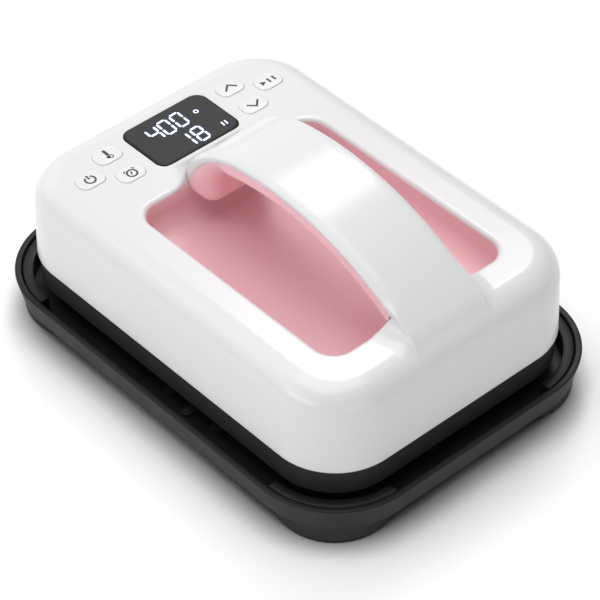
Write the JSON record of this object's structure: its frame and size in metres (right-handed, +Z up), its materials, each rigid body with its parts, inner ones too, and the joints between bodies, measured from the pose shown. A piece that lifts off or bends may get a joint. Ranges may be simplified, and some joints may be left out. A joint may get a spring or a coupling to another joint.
{
  "type": "mini handheld heat press",
  "caption": "Small hand-held heat press with an arched strap handle over a pocket, display, buttons and a hot plate, standing on its own insulated rest tray.",
  "frame": {"origin": "on the floor under the middle of the rest tray", "axes": "+Z up, +Y towards the display end, +X to the right of someone who holds the handle and faces the display"},
  "size_m": [0.1644, 0.225, 0.1029],
  "materials": {
    "tray_black": "moulded, fine satin",
    "pad_silicone": "moulded satin silicone",
    "felt": "needled felt",
    "foot_rubber": "moulded matte",
    "shell_white": "injection moulded satin gloss",
    "liner_pink": "injection moulded satin",
    "grip_pink": "soft-touch moulding",
    "housing_black": "moulded gloss",
    "lens_smoke": "smoked acrylic",
    "module_glass": "display glass",
    "board_green": "solder mask",
    "chip_black": "moulded epoxy",
    "switch_black": "moulded nylon",
    "plate_aluminium": "ceramic-coated casting",
    "element_steel": "drawn tube",
    "terminal_brass": "stamped",
    "blanket_fibre": "ceramic fibre",
    "shield_steel": "rolled sheet",
    "sensor_glass": "drawn glass",
    "fuse_metal": "drawn can",
    "screw_steel": "zinc plated",
    "sink_aluminium": "extruded",
    "capacitor_yellow": "moulded box",
    "block_nylon": "moulded nylon",
    "gland_rubber": "moulded",
    "button_white": "injection moulded satin gloss"
  },
  "bodies": {
    "base": {"base_tray": "tray_black", "rest_pad": "pad_silicone", "base_insulation": "felt", "rubber_feet": "foot_rubber"},
    "press": {"upper_shell": "shell_white", "pocket_liner": "liner_pink", "handle_grip": "grip_pink", "lower_housing": "housing_black", "display_lens": "lens_smoke", "display_module": "module_glass", "control_board": "board_green", "power_board": "board_green", "control_chip": "chip_black", "buzzer": "chip_black", "tact_switches": "switch_black", "triac": "chip_black", "heating_plate": "plate_aluminium", "heating_element": "element_steel", "element_terminals": "terminal_brass", "insulation_pad": "blanket_fibre", "heat_shield": "shield_steel", "temperature_sensor": "sensor_glass", "thermal_fuse": "fuse_metal", "fuse_clamp": "shield_steel", "plate_standoffs": "screw_steel", "plate_screws": "screw_steel", "housing_screws": "screw_steel", "liner_screws": "screw_steel", "board_screws": "screw_steel", "power_board_screws": "screw_steel", "clamp_screws": "screw_steel", "heat_sink": "sink_aluminium", "mains_capacitor": "capacitor_yellow", "mains_fuse": "sensor_glass", "terminal_block": "block_nylon", "cord_gland": "gland_rubber", "cord_clamp": "block_nylon"},
    "power_key": {"power_button": "button_white", "power_plunger": "switch_black"},
    "temperature_key": {"temperature_button": "button_white", "temperature_plunger": "switch_black"},
    "timer_key": {"timer_button": "button_white", "timer_plunger": "switch_black"},
    "up_key": {"up_button": "button_white", "up_plunger": "switch_black"},
    "down_key": {"down_button": "button_white", "down_plunger": "switch_black"},
    "start_key": {"start_button": "button_white", "start_plunger": "switch_black"}
  },
  "joints": [
    {"name": "press_lift", "type": "slide", "parent": "base", "child": "press", "axis": [0, 0, 1], "range_m": [0, 0.06]},
    {"name": "power_press", "type": "slide", "parent": "press", "child": "power_key", "axis": [0, 0, -1], "range_m": [0, 0.0006], "stiffness_N_per_m": 1300},
    {"name": "temperature_press", "type": "slide", "parent": "press", "child": "temperature_key", "axis": [0, 0, -1], "range_m": [0, 0.0006], "stiffness_N_per_m": 1300},
    {"name": "timer_press", "type": "slide", "parent": "press", "child": "timer_key", "axis": [0, 0, -1], "range_m": [0, 0.0006], "stiffness_N_per_m": 1300},
    {"name": "up_press", "type": "slide", "parent": "press", "child": "up_key", "axis": [0, 0, -1], "range_m": [0, 0.0006], "stiffness_N_per_m": 1300},
    {"name": "down_press", "type": "slide", "parent": "press", "child": "down_key", "axis": [0, 0, -1], "range_m": [0, 0.0006], "stiffness_N_per_m": 1300},
    {"name": "start_press", "type": "slide", "parent": "press", "child": "start_key", "axis": [0, 0, -1], "range_m": [0, 0.0006], "stiffness_N_per_m": 1300}
  ]
}
